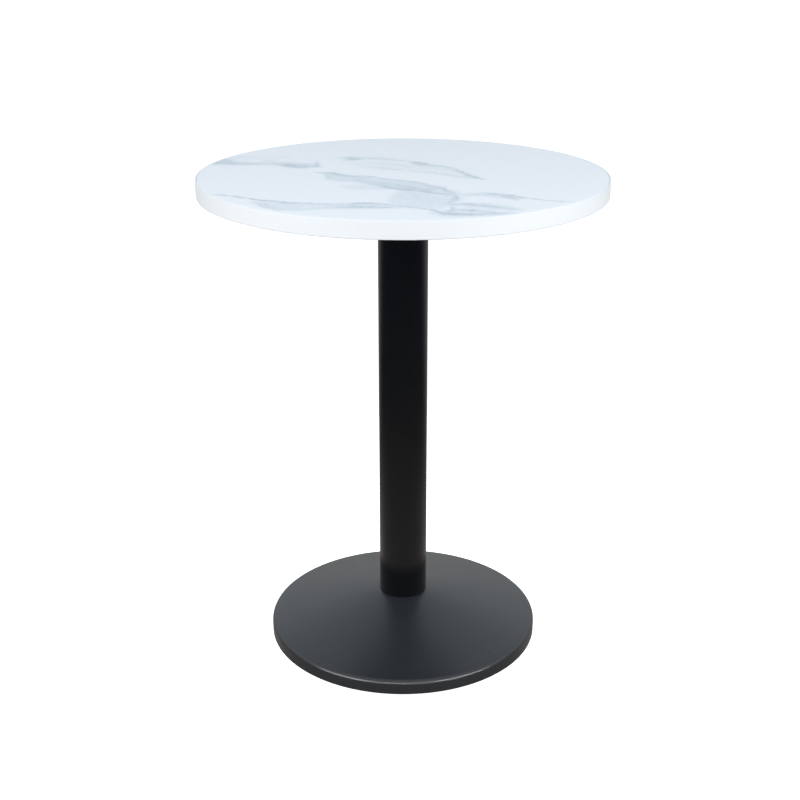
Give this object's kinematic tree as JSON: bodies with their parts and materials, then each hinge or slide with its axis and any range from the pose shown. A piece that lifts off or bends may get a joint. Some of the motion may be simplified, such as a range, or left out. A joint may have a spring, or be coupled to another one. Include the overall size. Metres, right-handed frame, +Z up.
{
  "type": "bistro table",
  "caption": "Round bistro table: marble-print laminate top on a black steel column and a domed cast base that stands on screw levellers.",
  "frame": {"origin": "on the floor, on the column's axis", "axes": "+Z up along the column; the levellers and spider arms lie on the diagonals of X and Y"},
  "size_m": [0.6096, 0.6096, 0.762],
  "materials": {
    "marble_print": "satin printed laminate, white marble with grey-blue veins",
    "white_edging": "satin white",
    "particle_board": "raw particle board",
    "backer_paper": "dark resin-soaked balancing sheet",
    "black_casting": "black powder coat on a sand casting",
    "black_powder_coat": "satin black powder coat",
    "black_base_coat": "fine-textured black powder coat",
    "zinc_plate": "bright zinc plate",
    "black_nylon": "moulded nylon"
  },
  "bodies": {
    "table": {"marble_laminate": "marble_print", "edge_band": "white_edging", "top_core": "particle_board", "backer_sheet": "backer_paper", "mounting_spider": "black_casting", "spider_screw_1": "zinc_plate", "spider_screw_2": "zinc_plate", "spider_screw_3": "zinc_plate", "spider_screw_4": "zinc_plate", "spider_screw_5": "zinc_plate", "spider_screw_6": "zinc_plate", "spider_screw_7": "zinc_plate", "spider_screw_8": "zinc_plate", "column_tube": "black_powder_coat", "tie_rod": "zinc_plate", "tie_rod_top_nut": "zinc_plate", "tie_rod_top_washer": "zinc_plate", "base_casting": "black_base_coat", "base_washer": "zinc_plate", "base_spring_washer": "zinc_plate", "base_nut": "zinc_plate"},
    "pad_1": {"leveller_pad_1": "black_nylon"},
    "stem_1": {"leveller_stem_1": "zinc_plate"},
    "pad_2": {"leveller_pad_2": "black_nylon"},
    "stem_2": {"leveller_stem_2": "zinc_plate"},
    "pad_3": {"leveller_pad_3": "black_nylon"},
    "stem_3": {"leveller_stem_3": "zinc_plate"},
    "pad_4": {"leveller_pad_4": "black_nylon"},
    "stem_4": {"leveller_stem_4": "zinc_plate"}
  },
  "joints": [
    {"name": "leveller_1_drop", "type": "slide", "parent": "table", "child": "pad_1", "axis": [0, 0, -1], "range_m": [0, 0.009]},
    {"name": "leveller_1_turn", "type": "hinge", "parent": "pad_1", "child": "stem_1", "pos_m": [0.12933, 0.12933, 0.0116], "axis": [0, 0, -1], "range_deg": [0, 2592]},
    {"name": "leveller_2_drop", "type": "slide", "parent": "table", "child": "pad_2", "axis": [0, 0, -1], "range_m": [0, 0.009]},
    {"name": "leveller_2_turn", "type": "hinge", "parent": "pad_2", "child": "stem_2", "pos_m": [-0.12933, 0.12933, 0.0116], "axis": [0, 0, -1], "range_deg": [0, 2592]},
    {"name": "leveller_3_drop", "type": "slide", "parent": "table", "child": "pad_3", "axis": [0, 0, -1], "range_m": [0, 0.009]},
    {"name": "leveller_3_turn", "type": "hinge", "parent": "pad_3", "child": "stem_3", "pos_m": [-0.12933, -0.12933, 0.0116], "axis": [0, 0, -1], "range_deg": [0, 2592]},
    {"name": "leveller_4_drop", "type": "slide", "parent": "table", "child": "pad_4", "axis": [0, 0, -1], "range_m": [0, 0.009]},
    {"name": "leveller_4_turn", "type": "hinge", "parent": "pad_4", "child": "stem_4", "pos_m": [0.12933, -0.12933, 0.0116], "axis": [0, 0, -1], "range_deg": [0, 2592]}
  ],
  "couplings": [
    {"joint": "leveller_1_drop", "follows": "leveller_1_turn", "m_per_rad": 0.00019894},
    {"joint": "leveller_2_drop", "follows": "leveller_2_turn", "m_per_rad": 0.00019894},
    {"joint": "leveller_3_drop", "follows": "leveller_3_turn", "m_per_rad": 0.00019894},
    {"joint": "leveller_4_drop", "follows": "leveller_4_turn", "m_per_rad": 0.00019894}
  ]
}
